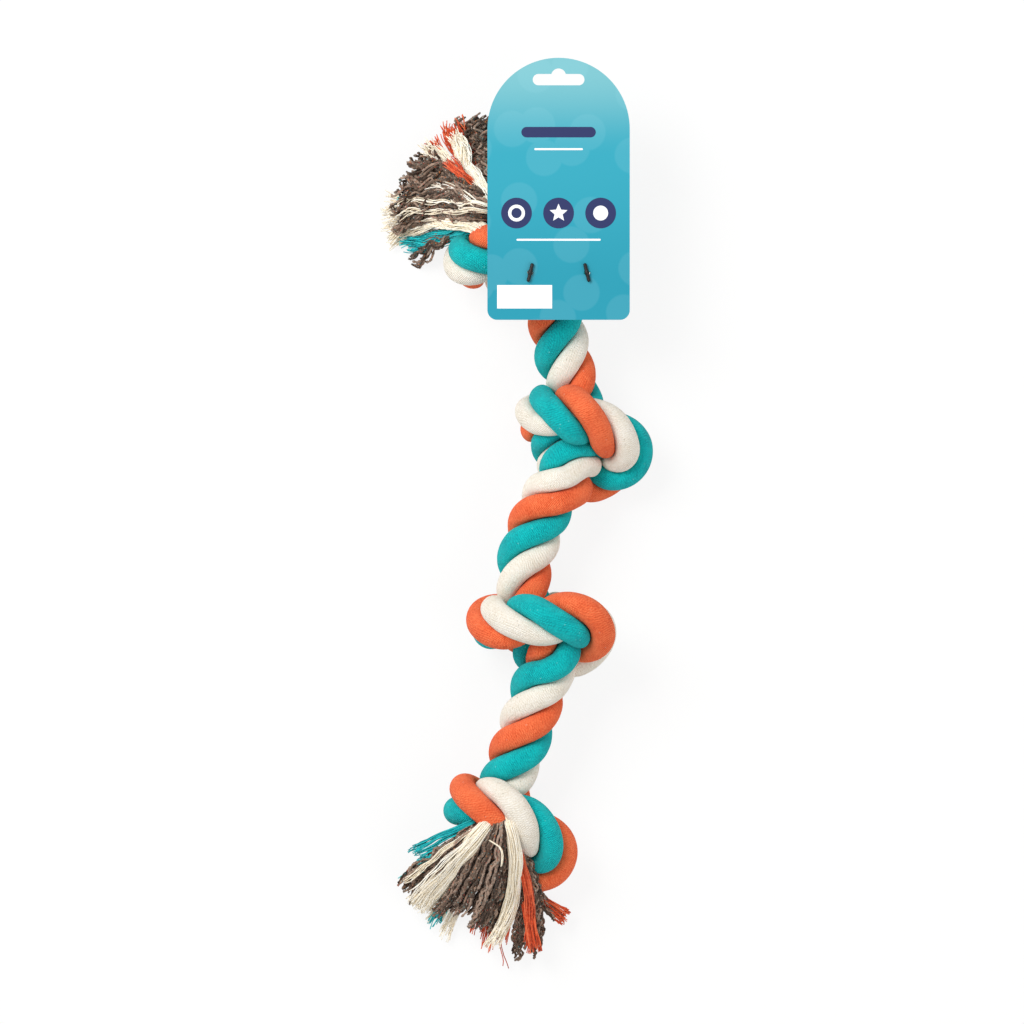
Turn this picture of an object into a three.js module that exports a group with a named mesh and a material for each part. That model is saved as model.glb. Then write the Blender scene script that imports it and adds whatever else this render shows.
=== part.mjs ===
// Rope dog toy: three soft plied strands laid into one thick rope, tied into four overhand knots,
// with both ends left open as tassels. A barbed elastic loop holds a card tag on the neck of the first knot.
// Millimetres, +Z up, +Y along the toy to the tagged end. The toy lies on its knots at z = 0.
import * as THREE from "three";

// Rope strands
const STRAND_RADIUS = 8.6; // free outer radius of one strand
const SPAN_SPACING = 13.8; // between strand centres in a straight span
const KNOT_SPACING = 10.8; // between strand centres where a knot squeezes them
const LAY_RADIUS = 9.8; // from the rope's centre to a strand's centre, as laid
const LAY_PITCH = 60; // one turn of the lay in a span
const KNOT_LAY_PITCH = 72; // one turn of the lay where a knot opens it
const FLAT_DEPTH = 3; // how far a strand flattens on the surface that it lies on
const SKIN_GAP = 0.8; // clearance between the skins of strands pressed together
const CUT_GAP = 0.3; // clearance between the end faces of two stretches of one strand

// Tassels: past each end knot a strand comes apart into its dyed cover yarns and its grey core yarns
const TUFT_OFFSET = 4; // from the middle of a strand's end to the middle of each of its two tufts
const TUFT_LEAD = 8; // how far a tuft runs straight on from its strand
const JOIN_REACH = 6; // how near its strand a tuft may press against the end that it comes from
const TUFT_ROOT_RADIUS = 4.2;
const TUFT_TIP_RADIUS = 17; // half of a tip's width
const TUFT_TIP_FLATNESS = 0.45; // a tip's depth as a share of its width
const TUFT_TIP_HEIGHT = 6; // of a tip's middle above the floor

// Card tag and the barbed elastic loop that holds it
const TAG_WIDTH = 88;
const TAG_HEIGHT = 162;
const TAG_THICKNESS = 0.8;
const TAG_CORNER_RADIUS = 6;
const TAG_CENTRE_X = 28.8;
const TAG_BOTTOM_Y = 118.8;
const TAG_REST_GAP = 0.3; // clearance between the card and the knot that it lies on
const SLOT_WIDTH = 32; // hanging slot
const SLOT_HEIGHT = 7;
const SLOT_BUMP_RADIUS = 4.6;
const SLOT_BUMP_HEIGHT = 10.4; // from the slot's lower edge to the top of its bump
const SLOT_TOP_MARGIN = 10; // from the card's top edge down to the slot's upper edge
const HOLE_RADIUS = 1.9;
const HOLE_SPACING = 35;
const HOLE_FROM_BOTTOM = 29.2;
const BAR_LENGTH = 12;
const BAR_RADIUS = 1.1;
const BAR_LEAN = THREE.MathUtils.degToRad(14); // how far each bar leans outwards at its lower end
const ELASTIC_RADIUS = 0.9;
const NECK_REACH = 19; // from the knot's end along the rope to where the loop sits
const LOOP_ENTRY = 2; // how far the loop's legs run straight down below the card
const LOOP_DIP = 14; // from the card down to where the loop's legs reach the neck
const FIT_GAP = 0.3; // clearance between the loop, the bars, the card and the rope

// How finely the soft forms are made
const RELAX_STEP = 6; // between points of a strand while it settles
const RELAX_ROUNDS = 200;
const RING_STEP = 8; // between the rings of a strand's solid
const TUFT_RING_STEP = 5;
const RING_SIDES = 8;
const SAMPLE_STEP = 1.5; // between the points that neighbouring strands are kept clear of
const CURVE_PARTS = 3000; // the rope's centreline is measured in this many parts
const ARC_STEPS = 8; // sides of a small arc
const LOOP_STEPS = 28;

// Colours and finishes
const CORE_COLOUR = 0x6a5a50;
const CARD_COLOUR = 0x33acc3;
const ELASTIC_COLOUR = 0x1a1a1a;
const FIBRE_ROUGHNESS = 0.95;
const CARD_ROUGHNESS = 0.5;
const ELASTIC_ROUGHNESS = 0.8;

const TURN = 2 * Math.PI;
const vec = (x, y, z) => new THREE.Vector3(x, y, z);

// The strands in their order round the rope
const TEAL = 0;
const ORANGE = 1;
const CREAM = 2;
const STRANDS = [
  { name: "teal", colour: 0x0cb4b6 },
  { name: "orange", colour: 0xe66a40 },
  { name: "cream", colour: 0xf2e9d8 },
];

// One overhand knot's centreline, in rope diameters: down the rope, to the right and towards the viewer
const OVERHAND = [
  [-1.3, 0.05, 0],
  [-0.4, 0.05, 0.1],
  [0.35, -0.45, 0.05],
  [1.05, -0.25, -0.5],
  [1.3, 0.5, -0.8],
  [1, 1.3, -0.5],
  [0.35, 1.5, 0.05],
  [-0.15, 0.95, 0.6],
  [-0.6, 0.3, 1],
  [-0.85, -0.55, 0.8],
  [-0.75, -0.9, 0],
  [-0.35, -0.55, -0.7],
  [0.15, 0.2, -0.75],
  [0.6, 0.5, -0.05],
  [1, 0.55, 0.15],
  [1.45, 0.5, 0.2],
];
const OVERHAND_CENTRE = [0.22, 0.3, 0.1];
// Other ways into and out of a knot, in the same terms. An open one comes apart into a tassel.
const OPEN_HEAD = [[-0.95, 0.05, 0.05]];
const FRONT_TAIL = [[0.37, -0.03, 0.05], [0.71, -0.23, 0.4], [1.3, -0.2, 0.4]];
const OPEN_TAIL = [[0.3, 0.25, -0.1], [0.5, 0.1, 0.3], [0.8, -0.1, 0.4]];
const WRAP_POINT = 8; // the middle of the turn that wraps across the front

// Where the knots lie. Heading is the turn from straight down, roll the turn about the rope, in degrees.
// Rope is the squeezed rope's diameter, squash and spread stretch the knot along and across the rope.
// Front is the strand that shows on the middle of the wrap, or a place between two of them.
const KNOTS = [
  {
    at: [6, 158], heading: 42, roll: -32, rope: 23, squash: 0.85, spread: 1, front: TEAL + 0.65,
    head: OPEN_HEAD,
  },
  {
    at: [45.4, 43], heading: 0, roll: 0, rope: 22.5, squash: 0.8, spread: 1, front: ORANGE,
    tail: FRONT_TAIL,
  },
  {
    at: [19.3, -73.5], heading: 22, roll: -45, rope: 24, squash: 0.65, spread: 1.15, front: CREAM,
  },
  {
    at: [-2.5, -203.5], heading: -7, roll: 0, rope: 23.5, squash: 0.9, spread: 1, front: CREAM,
    tail: OPEN_TAIL,
  },
];

// The points that the rope passes between its knots, and the strand that is uppermost at the marked one
const SPANS = [
  { points: [[25.5, 131.9], [30.5, 99.5]], front: CREAM + 0.5, mark: 1 },
  { points: [[21.1, 7.5], [14.3, -11.2], [7.5, -29.9]], front: TEAL, mark: 1 },
  { points: [[18, -104.5], [9.3, -133.7], [0, -157.4]], front: ORANGE, mark: 1 },
];
const SPAN_HALF = 22; // how far the lay keeps its pitch each way from that point

// The strand that comes out on a given side at each end of the rope
const ENDS = [
  { side: [-1, -0.3, 0], front: TEAL },
  { side: [-1, 0, 0], front: TEAL },
];

// How firmly the rope is gripped
const SPAN_GRIP = 0;
const KNOT_EDGE_GRIP = 0.6;
const KNOT_GRIP = 1;
const CUT_GRIP = 0.3; // the grip at which a knot ends

// The rope's centreline: knots and spans in one run, with the grip at each point
function knotPoints(knot) {
  const { head = [], tail = [] } = knot;
  const route = [...head, ...OVERHAND.slice(head.length, OVERHAND.length - tail.length), ...tail];
  const heading = THREE.MathUtils.degToRad(knot.heading);
  const roll = THREE.MathUtils.degToRad(knot.roll);
  const points = route.map(([down, across, out]) => {
    const u = (down - OVERHAND_CENTRE[0]) * knot.squash * knot.rope;
    const v = (across - OVERHAND_CENTRE[1]) * knot.spread * knot.rope;
    const w = (out - OVERHAND_CENTRE[2]) * knot.rope;
    const side = v * Math.cos(roll) + w * Math.sin(roll);
    const height = w * Math.cos(roll) - v * Math.sin(roll);
    const x = u * Math.sin(heading) + side * Math.cos(heading);
    const y = side * Math.sin(heading) - u * Math.cos(heading);
    return vec(knot.at[0] + x, knot.at[1] + y, height);
  });
  const lowest = Math.min(...points.map((point) => point.z));
  points.forEach((point) => {
    point.z += knot.rope / 2 - lowest;
  });
  return points;
}

function ropeRoute() {
  const points = [];
  const grips = [];
  const marks = [];
  const knots = KNOTS.map(knotPoints);
  const add = (point, grip) => {
    points.push(point);
    grips.push(grip);
  };
  knots.forEach((knot, k) => {
    const middle = knot.reduce((sum, point) => sum.add(point), vec(0, 0, 0)).divideScalar(knot.length);
    const wrap = knot[WRAP_POINT];
    marks.push({ point: wrap, out: wrap.clone().sub(middle), front: KNOTS[k].front });
    knot.forEach((point, i) => {
      const edge = i === 0 || i === knot.length - 1;
      add(point, edge ? KNOT_EDGE_GRIP : KNOT_GRIP);
    });
    const span = SPANS[k];
    if (!span) {
      return;
    }
    const from = knot.at(-1).z;
    const to = knots[k + 1][0].z;
    span.points.forEach(([x, y], i) => {
      const share = (i + 1) / (span.points.length + 1);
      const point = vec(x, y, THREE.MathUtils.lerp(from, to, share));
      add(point, SPAN_GRIP);
      if (i === span.mark) {
        marks.push({ point, out: vec(0, 0, 1), front: span.front, span: true });
      }
    });
  });
  ENDS.forEach(({ side, front }, end) => {
    marks.push({ point: points.at(end === 0 ? 0 : -1), out: vec(...side), front });
  });
  return { points, grips, marks };
}

// The rope cut into even steps, each with a frame that turns no more than the rope bends
function ropeFrames({ points, grips, marks }) {
  const curve = new THREE.CatmullRomCurve3(points, false, "centripetal");
  curve.arcLengthDivisions = CURVE_PARTS;
  const count = Math.round(curve.getLength() / RELAX_STEP);
  const frames = [];
  for (let i = 0; i <= count; i++) {
    const t = curve.getUtoTmapping(i / count);
    const run = t * (points.length - 1);
    const before = Math.min(points.length - 2, Math.floor(run));
    const grip = THREE.MathUtils.lerp(grips[before], grips[before + 1], run - before);
    frames.push({ centre: curve.getPoint(t), tangent: curve.getTangent(t), grip });
  }
  carryNormals(frames);
  marks.forEach((mark) => {
    mark.index = nearest(frames, mark.point);
  });
  return frames;
}

function carryNormals(frames) {
  const upright = (tangent) => vec(0, 0, 1).addScaledVector(tangent, -tangent.z).normalize();
  frames.forEach((frame, i) => {
    if (i === 0) {
      frame.normal = upright(frame.tangent);
    } else {
      const last = frames[i - 1];
      const turn = new THREE.Quaternion().setFromUnitVectors(last.tangent, frame.tangent);
      frame.normal = last.normal.clone().applyQuaternion(turn);
    }
    frame.binormal = frame.tangent.clone().cross(frame.normal);
  });
}

function nearest(frames, point) {
  let best = 0;
  frames.forEach((frame, i) => {
    if (frame.centre.distanceTo(point) < frames[best].centre.distanceTo(point)) {
      best = i;
    }
  });
  return best;
}

// How far the lay has turned at each step, so that the marked strands show where they should
function layTurns(frames, marks) {
  const anchors = [];
  marks.sort((a, b) => a.index - b.index).forEach((mark) => {
    const frame = frames[mark.index];
    const facing = Math.atan2(mark.out.dot(frame.binormal), mark.out.dot(frame.normal));
    const turn = facing - (TURN * mark.front) / STRANDS.length;
    if (!mark.span) {
      anchors.push({ index: mark.index, turn, pitch: KNOT_LAY_PITCH });
      return;
    }
    const half = Math.round(SPAN_HALF / RELAX_STEP);
    const swing = (TURN * half * RELAX_STEP) / LAY_PITCH;
    anchors.push({ index: mark.index - half, turn: turn - swing, pitch: KNOT_LAY_PITCH });
    anchors.push({ index: mark.index + half, turn: turn + swing, pitch: LAY_PITCH });
  });
  const turned = (from, to, pitch) => (TURN * (to - from) * RELAX_STEP) / pitch;
  anchors.forEach((anchor, i) => {
    if (i > 0) {
      const last = anchors[i - 1];
      const wanted = last.turn + turned(last.index, anchor.index, anchor.pitch);
      anchor.turn += TURN * Math.round((wanted - anchor.turn) / TURN);
    }
  });
  return frames.map((_, i) => {
    const after = anchors.findIndex((anchor) => anchor.index >= i);
    if (after === 0 || after < 0) {
      const end = after === 0 ? anchors[0] : anchors.at(-1);
      return end.turn + turned(end.index, i, KNOT_LAY_PITCH);
    }
    const a = anchors[after - 1];
    const b = anchors[after];
    return THREE.MathUtils.mapLinear(i, a.index, b.index, a.turn, b.turn);
  });
}

// The three strands, each a row of points an even step apart, wound round the rope's centreline
function layStrands() {
  const route = ropeRoute();
  const frames = ropeFrames(route);
  const turns = layTurns(frames, route.marks);
  return STRANDS.map((_, s) => {
    const points = frames.map((frame, i) => {
      const angle = turns[i] + (TURN * s) / STRANDS.length;
      const point = frame.centre.clone();
      point.addScaledVector(frame.normal, LAY_RADIUS * Math.cos(angle));
      point.addScaledVector(frame.binormal, LAY_RADIUS * Math.sin(angle));
      return { point, grip: frame.grip };
    });
    return evenSteps(points, RELAX_STEP);
  });
}

function evenSteps(row, step) {
  const along = [0];
  for (let i = 1; i < row.length; i++) {
    along.push(along[i - 1] + row[i].point.distanceTo(row[i - 1].point));
  }
  const count = Math.round(along.at(-1) / step);
  const even = [];
  let j = 1;
  for (let i = 0; i <= count; i++) {
    const target = (along.at(-1) * i) / count;
    while (j < row.length - 1 && along[j] < target) {
      j++;
    }
    const share = (target - along[j - 1]) / (along[j] - along[j - 1]);
    const point = row[j - 1].point.clone().lerp(row[j].point, share);
    even.push({ point, grip: THREE.MathUtils.lerp(row[j - 1].grip, row[j].grip, share) });
  }
  return even;
}

// The strands settle: each is drawn straight along its length, held near where it was laid,
// pushed apart from every strand that it presses on, kept from kinking and kept off the surface below
const TENSION = 0.3;
const LAST_TENSION = 0.05;
const LAST_ROUNDS = 30;
const PAIR_ROUNDS = 5; // how often the points that press together are looked for
const FIRST_SHARE = 0.7; // the share of the full spacing that the first round asks for
const SHARE_GROWTH = 0.6; // how much that share grows by the last round
const HOLD = 0.02; // how strongly a strand is held where it was laid
const PUSH = 0.25; // the share of an overlap that one pass takes up on each side
const FINAL_PASSES = 60;
const LOOSE_REACH = 8; // how far beyond touching a pair of points is still watched
const OWN_REACH = 1.75; // how near along itself a strand isn't pushed by its own points, in spacings
const KINK_RATIO = 0.66; // tightest bend of a strand's centreline, in strand spacings
const KINK_STEPS = [2, 3, 4];

function settle(rows) {
  const entryOf = (entry, s, i) => ({ ...entry, s, i, home: entry.point.clone() });
  const all = rows.flatMap((row, s) => row.map((entry, i) => entryOf(entry, s, i)));
  const floor = STRAND_RADIUS - FLAT_DEPTH;
  const spacing = (grip) => THREE.MathUtils.lerp(SPAN_SPACING, KNOT_SPACING, grip);
  let pairs = [];
  const findPairs = () => {
    pairs = [];
    const reach = SPAN_SPACING + LOOSE_REACH;
    const apart = (OWN_REACH * SPAN_SPACING) / RELAX_STEP;
    for (let a = 0; a < all.length; a++) {
      for (let b = a + 1; b < all.length; b++) {
        const neighbours = all[a].s === all[b].s && all[b].i - all[a].i < apart;
        if (!neighbours && all[a].point.distanceToSquared(all[b].point) < reach * reach) {
          pairs.push([all[a], all[b], spacing((all[a].grip + all[b].grip) / 2)]);
        }
      }
    }
  };
  const push = (a, b, need) => {
    const distance = a.point.distanceTo(b.point);
    if (distance < need && distance > 0) {
      const share = (PUSH * (need - distance)) / distance;
      const gap = b.point.clone().sub(a.point);
      a.point.addScaledVector(gap, -share);
      b.point.addScaledVector(gap, share);
    }
  };
  const pass = (grown) => {
    pairs.forEach(([a, b, need]) => push(a, b, need * grown));
    KINK_STEPS.forEach((steps) => {
      for (let i = 0; i + steps < all.length; i++) {
        if (all[i].s === all[i + steps].s) {
          const bend = KINK_RATIO * spacing(all[i].grip);
          const half = Math.min((steps * RELAX_STEP) / (2 * bend), Math.PI / 2);
          push(all[i], all[i + steps], 2 * bend * Math.sin(half));
        }
      }
    });
    all.forEach((entry) => {
      entry.point.z = Math.max(entry.point.z, floor);
    });
  };
  const isEnd = (i) => all[i - 1]?.s !== all[i].s || all[i + 1]?.s !== all[i].s;
  for (let round = 0; round < RELAX_ROUNDS; round++) {
    const tension = round < RELAX_ROUNDS - LAST_ROUNDS ? TENSION : LAST_TENSION;
    const before = all.map((entry) => entry.point.clone());
    all.forEach((entry, i) => {
      if (!isEnd(i)) {
        entry.point.lerp(before[i - 1].clone().add(before[i + 1]).multiplyScalar(0.5), tension);
        entry.point.lerp(entry.home, HOLD);
      }
    });
    if (round % PAIR_ROUNDS === 0) {
      findPairs();
    }
    const grown = Math.min(1, FIRST_SHARE + (SHARE_GROWTH * round) / RELAX_ROUNDS);
    pass(grown);
    pass(grown);
  }
  findPairs();
  for (let round = 0; round < FINAL_PASSES; round++) {
    pass(1);
  }
  return rows.map((_, s) => all.filter((entry) => entry.s === s));
}

// A strand or a tuft is a soft tube: samples along its centreline, each with a frame, a free radius and
// a flatness, its depth as a share of its width
function softTube(points, sampleCount, freeRadius, flatness, owner) {
  const curve = new THREE.CatmullRomCurve3(points, false, "centripetal");
  const samples = [];
  for (let i = 0; i <= sampleCount; i++) {
    const t = i / sampleCount;
    const sample = { centre: curve.getPoint(t), tangent: curve.getTangent(t) };
    samples.push({ ...sample, free: freeRadius(t), flat: flatness(t), owner });
  }
  carryNormals(samples);
  return samples;
}

const sideways = (sample, side) => {
  const angle = (TURN * side) / RING_SIDES;
  return sample.normal
    .clone()
    .multiplyScalar(Math.cos(angle))
    .addScaledVector(sample.binormal, Math.sin(angle));
};

const freeReach = ({ free, flat }, way) => free / Math.hypot(way.x, way.y, way.z / flat);

// Soft tubes that press together flatten: no side reaches past half-way to a neighbour
function pressTogether(tubes) {
  const all = tubes.flat();
  all.forEach((sample) => {
    sample.sides = [];
    for (let side = 0; side < RING_SIDES; side++) {
      const way = sideways(sample, side);
      sample.sides.push({ way, reach: freeReach(sample, way) });
    }
  });
  const gap = vec(0, 0, 0);
  all.forEach((sample) => {
    all.forEach((other) => {
      const distance = sample.centre.distanceToSquared(other.centre);
      const near = sample.free + Math.max(sample.free, other.free);
      const joined = sample.owner.joined.includes(other.owner) && distance < JOIN_REACH * JOIN_REACH;
      if (other === sample || joined || distance > near * near) {
        return;
      }
      gap.subVectors(other.centre, sample.centre);
      sample.sides.forEach((side) => {
        const towards = side.way.dot(gap);
        if (towards > 0) {
          side.reach = Math.min(side.reach, distance / (2 * towards));
        }
      });
    });
  });
}

// The solid of one stretch of a soft tube: rings of points, flat where they reach the floor and at each end
function stretch(samples, from, to, ringStep) {
  const rings = Math.max(2, Math.round(((to - from) * SAMPLE_STEP) / ringStep));
  const near = Math.ceil(ringStep / SAMPLE_STEP / 2);
  const positions = [];
  const index = [];
  for (let ring = 0; ring <= rings; ring++) {
    const at = Math.round(THREE.MathUtils.lerp(from, to, ring / rings));
    const close = samples.slice(Math.max(from, at - near), Math.min(to, at + near) + 1);
    const inset = ring === 0 ? CUT_GAP / 2 : ring === rings ? -CUT_GAP / 2 : 0;
    const centre = samples[at].centre.clone().addScaledVector(samples[at].tangent, inset);
    for (let side = 0; side < RING_SIDES; side++) {
      const { way } = samples[at].sides[side];
      const reach = Math.min(...close.map((sample) => sample.sides[side].reach)) - SKIN_GAP / 2;
      const drop = way.z < 0 ? centre.z / -way.z : Infinity;
      const point = centre.clone().addScaledVector(way, Math.min(reach, drop));
      positions.push(...point.toArray());
      if (ring < rings) {
        const a = ring * RING_SIDES + side;
        const b = ring * RING_SIDES + ((side + 1) % RING_SIDES);
        index.push(a, b, b + RING_SIDES, a, b + RING_SIDES, a + RING_SIDES);
      }
    }
    if (ring === 0 || ring === rings) {
      const hub = (rings + 1) * RING_SIDES + (ring === 0 ? 0 : 1);
      for (let side = 0; side < RING_SIDES; side++) {
        const a = ring * RING_SIDES + side;
        const b = ring * RING_SIDES + ((side + 1) % RING_SIDES);
        index.push(...(ring === 0 ? [hub, b, a] : [hub, a, b]));
      }
    }
  }
  [from, to].forEach((at, end) => {
    const inset = (end === 0 ? CUT_GAP : -CUT_GAP) / 2;
    positions.push(...samples[at].centre.clone().addScaledVector(samples[at].tangent, inset).toArray());
  });
  const geometry = new THREE.BufferGeometry();
  geometry.setAttribute("position", new THREE.Float32BufferAttribute(positions, 3));
  geometry.setIndex(index);
  geometry.computeVertexNormals();
  return geometry;
}

const toy = new THREE.Group();
function addPiece(parent, name, geometry, colour, roughness) {
  const material = new THREE.MeshStandardMaterial({ color: colour, roughness, metalness: 0 });
  const mesh = new THREE.Mesh(geometry, material);
  mesh.name = name;
  parent.add(mesh);
  return mesh;
}

// Strands, cut where each knot ends and each span begins
const strandRows = settle(layStrands());
const SAMPLES_PER_STEP = RELAX_STEP / SAMPLE_STEP;
const strandTubes = strandRows.map((row, s) => {
  const points = row.map((entry) => entry.point);
  const count = (points.length - 1) * SAMPLES_PER_STEP;
  return softTube(points, count, () => STRAND_RADIUS, () => 1, STRANDS[s]);
});
function cutsOf(row) {
  const cuts = [0];
  for (let i = 1; i < row.length; i++) {
    if (row[i - 1].grip > CUT_GRIP !== row[i].grip > CUT_GRIP) {
      cuts.push(i * SAMPLES_PER_STEP);
    }
  }
  cuts.push((row.length - 1) * SAMPLES_PER_STEP);
  return cuts;
}

// Tufts: the strand that each comes from, the way it points, in degrees round from +X, and its length
const TASSELS = [
  {
    name: "top_tassel",
    atStart: true,
    tufts: [
      { name: "orange_yarns", strand: ORANGE, angle: 109, length: 62 },
      { name: "orange_core_yarns", strand: ORANGE, core: true, angle: 90, length: 57 },
      { name: "cream_yarns", strand: CREAM, angle: 129, length: 60 },
      { name: "cream_core_yarns", strand: CREAM, core: true, angle: 150, length: 60 },
      { name: "teal_core_yarns", strand: TEAL, core: true, angle: 170, length: 59 },
      { name: "teal_yarns", strand: TEAL, angle: 188, length: 55 },
    ],
  },
  {
    name: "bottom_tassel",
    atStart: false,
    tufts: [
      { name: "teal_yarns", strand: TEAL, angle: 203, length: 44 },
      { name: "teal_core_yarns", strand: TEAL, core: true, angle: 222, length: 58 },
      { name: "cream_yarns", strand: CREAM, angle: 244, length: 62 },
      { name: "cream_core_yarns", strand: CREAM, core: true, angle: 261, length: 58 },
      { name: "orange_core_yarns", strand: ORANGE, core: true, angle: 287, length: 64 },
      { name: "orange_yarns", strand: ORANGE, angle: 307, length: 63 },
    ],
  },
];

function tuftTube(tuft, tassel) {
  const tube = strandTubes[tuft.strand];
  const end = tassel.atStart ? tube[0] : tube.at(-1);
  const away = end.tangent.clone().multiplyScalar(tassel.atStart ? -1 : 1);
  const angle = THREE.MathUtils.degToRad(tuft.angle);
  const fan = vec(Math.cos(angle), Math.sin(angle), 0);
  const twin = tassel.tufts.find((other) => other !== tuft && other.strand === tuft.strand);
  const left = vec(-away.y, away.x, 0).normalize();
  const root = end.centre.clone().addScaledVector(away, CUT_GAP);
  root.addScaledVector(left, tuft.angle > twin.angle ? TUFT_OFFSET : -TUFT_OFFSET);
  const lead = root.clone().addScaledVector(away, TUFT_LEAD);
  const fall = (share) => {
    const point = root.clone().addScaledVector(fan, share * tuft.length);
    point.z = THREE.MathUtils.lerp(root.z, TUFT_TIP_HEIGHT, Math.sqrt(share));
    return point;
  };
  const radius = (share) => THREE.MathUtils.lerp(TUFT_ROOT_RADIUS, TUFT_TIP_RADIUS, share);
  const flatness = (share) => THREE.MathUtils.lerp(1, TUFT_TIP_FLATNESS, share);
  const owner = { tuft, joined: [STRANDS[tuft.strand]] };
  const points = [root, lead, fall(0.5), fall(0.75), fall(1)];
  return softTube(points, Math.round(tuft.length / SAMPLE_STEP), radius, flatness, owner);
}

const tuftTubes = TASSELS.map((tassel) => tassel.tufts.map((tuft) => tuftTube(tuft, tassel)));
STRANDS.forEach((strand, s) => {
  const own = tuftTubes.flat().filter(([sample]) => sample.owner.tuft.strand === s);
  strand.joined = own.map(([sample]) => sample.owner);
});
pressTogether([...strandTubes, ...tuftTubes.flat()]);

STRANDS.forEach((strand, s) => {
  const cuts = cutsOf(strandRows[s]);
  for (let i = 0; i + 1 < cuts.length; i++) {
    const place = i % 2 === 0 ? `knot_${i / 2 + 1}` : `span_${(i + 1) / 2}`;
    const solid = stretch(strandTubes[s], cuts[i], cuts[i + 1], RING_STEP);
    addPiece(toy, `${place}_${strand.name}_strand`, solid, strand.colour, FIBRE_ROUGHNESS);
  }
});
TASSELS.forEach((tassel, a) => {
  tassel.tufts.forEach((tuft, b) => {
    const colour = tuft.core ? CORE_COLOUR : STRANDS[tuft.strand].colour;
    const tube = tuftTubes[a][b];
    const solid = stretch(tube, 0, tube.length - 1, TUFT_RING_STEP);
    addPiece(toy, `${tassel.name}_${tuft.name}`, solid, colour, FIBRE_ROUGHNESS);
  });
});

// Card tag: a flat board with an arched top, a hanging slot and two small holes, lying on the first knot
function tagOutline() {
  const half = TAG_WIDTH / 2;
  const corner = TAG_CORNER_RADIUS;
  const shoulder = TAG_HEIGHT - half;
  const outline = new THREE.Shape();
  outline.moveTo(half, corner);
  outline.lineTo(half, shoulder);
  outline.absarc(0, shoulder, half, 0, Math.PI, false);
  outline.lineTo(-half, corner);
  outline.absarc(corner - half, corner, corner, Math.PI, 1.5 * Math.PI, false);
  outline.lineTo(half - corner, 0);
  outline.absarc(half - corner, corner, corner, -0.5 * Math.PI, 0, false);
  outline.holes.push(hangingSlot());
  [-1, 1].forEach((side) => {
    const hole = new THREE.Path();
    hole.absarc((side * HOLE_SPACING) / 2, HOLE_FROM_BOTTOM, HOLE_RADIUS, 0, TURN, true);
    outline.holes.push(hole);
  });
  return outline;
}

function hangingSlot() {
  const round = SLOT_HEIGHT / 2;
  const reach = SLOT_WIDTH / 2 - round;
  const top = TAG_HEIGHT - SLOT_TOP_MARGIN;
  const middle = top - round;
  const bump = top - SLOT_HEIGHT + SLOT_BUMP_HEIGHT - SLOT_BUMP_RADIUS;
  const rise = Math.asin((top - bump) / SLOT_BUMP_RADIUS);
  const slot = new THREE.Path();
  slot.absarc(0, bump, SLOT_BUMP_RADIUS, rise, Math.PI - rise, false);
  slot.absarc(-reach, middle, round, 0.5 * Math.PI, 1.5 * Math.PI, false);
  slot.absarc(reach, middle, round, -0.5 * Math.PI, 0.5 * Math.PI, false);
  slot.closePath();
  return slot;
}

const underTag = vec(0, 0, 0);
const tagLow = vec(TAG_CENTRE_X - TAG_WIDTH / 2, TAG_BOTTOM_Y, 0);
const tagHigh = vec(TAG_CENTRE_X + TAG_WIDTH / 2, TAG_BOTTOM_Y + TAG_HEIGHT, Infinity);
const tagFootprint = new THREE.Box3(tagLow, tagHigh).expandByScalar(RING_STEP);
let tagZ = 0;
toy.children.forEach(({ geometry }) => {
  const { position } = geometry.attributes;
  for (let i = 0; i < position.count; i++) {
    underTag.fromBufferAttribute(position, i);
    if (tagFootprint.containsPoint(underTag)) {
      tagZ = Math.max(tagZ, underTag.z + TAG_REST_GAP);
    }
  }
});

const tag = new THREE.Group();
tag.position.set(TAG_CENTRE_X, TAG_BOTTOM_Y, tagZ);
toy.add(tag);
const card = new THREE.ExtrudeGeometry(tagOutline(), {
  depth: TAG_THICKNESS,
  bevelEnabled: false,
  curveSegments: ARC_STEPS,
});
addPiece(tag, "tag_card", card, CARD_COLOUR, CARD_ROUGHNESS);

// Barbed ends of the elastic loop: a short bar over each hole
[-1, 1].forEach((side) => {
  const bar = new THREE.CapsuleGeometry(BAR_RADIUS, BAR_LENGTH - 2 * BAR_RADIUS, ARC_STEPS / 4, RING_SIDES);
  const name = side < 0 ? "tag_left_bar" : "tag_right_bar";
  const piece = addPiece(tag, name, bar, ELASTIC_COLOUR, ELASTIC_ROUGHNESS);
  piece.position.set((side * HOLE_SPACING) / 2, HOLE_FROM_BOTTOM, TAG_THICKNESS + FIT_GAP + BAR_RADIUS);
  piece.rotation.z = side * BAR_LEAN;
});

// Elastic loop: down through one hole, round under the neck of the first knot and up through the other
const neckStep = Math.round(NECK_REACH / SAMPLE_STEP);
const neckPoints = strandTubes.map((tube, s) => tube[cutsOf(strandRows[s])[1] + neckStep].centre);
const neck = neckPoints.reduce((sum, point) => sum.add(point), vec(0, 0, 0)).divideScalar(STRANDS.length);
const neckRadius = Math.max(...neckPoints.map((point) => point.distanceTo(neck))) + STRAND_RADIUS;
const loopRadius = neckRadius + ELASTIC_RADIUS + FIT_GAP;
const holeY = TAG_BOTTOM_Y + HOLE_FROM_BOTTOM;
const legPoints = (side) => {
  const x = TAG_CENTRE_X + (side * HOLE_SPACING) / 2;
  const upper = vec(x, holeY, tagZ + TAG_THICKNESS);
  const lower = vec(x, holeY, tagZ - LOOP_ENTRY);
  return [upper, lower, vec(x, neck.y, tagZ - LOOP_DIP)];
};
const loopPoints = legPoints(-1);
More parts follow.
